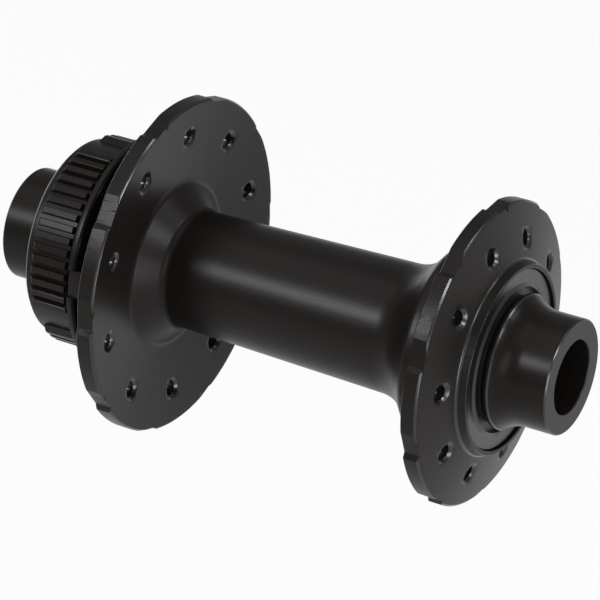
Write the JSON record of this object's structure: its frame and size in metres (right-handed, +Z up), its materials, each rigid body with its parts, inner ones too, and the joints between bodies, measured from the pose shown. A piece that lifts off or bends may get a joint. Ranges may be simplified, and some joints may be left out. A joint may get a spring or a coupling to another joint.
{
  "type": "bicycle front hub",
  "caption": "Front wheel hub for a thru axle, with two drilled spoke flanges, a waisted barrel, a splined disc rotor mount and caged ball bearings on a hollow axle.",
  "frame": {"origin": "on the axle's centre line, half way between the two faces that the fork clamps", "axes": "+Y along the axle towards the rotor side, which is the rider's left; +Z up; +X along the bicycle"},
  "size_m": [0.0562, 0.1, 0.0562],
  "materials": {
    "anodised_shell": "satin black anodised, forged and turned",
    "anodised_caps": "satin black anodised, turned",
    "axle_alloy": "black anodised tube",
    "bearing_steel": "ground and polished bearing steel",
    "cage_steel": "pressed sheet steel",
    "cover_plastic": "moulded black nylon",
    "seal_rubber": "moulded rubber"
  },
  "bodies": {
    "axle": {"axle_tube": "axle_alloy", "left_cone": "bearing_steel", "right_cone": "bearing_steel", "left_dust_cover": "cover_plastic", "right_dust_cover": "cover_plastic", "left_seal_ring": "seal_rubber", "right_seal_ring": "seal_rubber", "left_lock_washer": "cage_steel", "right_lock_washer": "cage_steel", "left_spacer": "anodised_caps", "left_end_cap": "anodised_caps", "right_end_cap": "anodised_caps"},
    "hub_shell": {"hub_shell": "anodised_shell", "left_bearing_cup": "bearing_steel", "right_bearing_cup": "bearing_steel", "left_dust_cap": "cage_steel", "right_dust_cap": "cage_steel"},
    "left_cage": {"left_ball_cage": "cage_steel", "left_bearing_balls": "bearing_steel"},
    "right_cage": {"right_ball_cage": "cage_steel", "right_bearing_balls": "bearing_steel"}
  },
  "joints": [
    {"name": "wheel_spin", "type": "hinge", "parent": "axle", "child": "hub_shell", "pos_m": [0, 0, 0], "axis": [0, 1, 0], "continuous": true},
    {"name": "left_cage_roll", "type": "hinge", "parent": "axle", "child": "left_cage", "pos_m": [0, 0.027, 0], "axis": [0, 1, 0], "continuous": true},
    {"name": "right_cage_roll", "type": "hinge", "parent": "axle", "child": "right_cage", "pos_m": [0, -0.03259, 0], "axis": [0, 1, 0], "continuous": true}
  ],
  "couplings": [
    {"joint": "left_cage_roll", "follows": "wheel_spin", "ratio": 0.5656},
    {"joint": "right_cage_roll", "follows": "wheel_spin", "ratio": 0.5656}
  ]
}
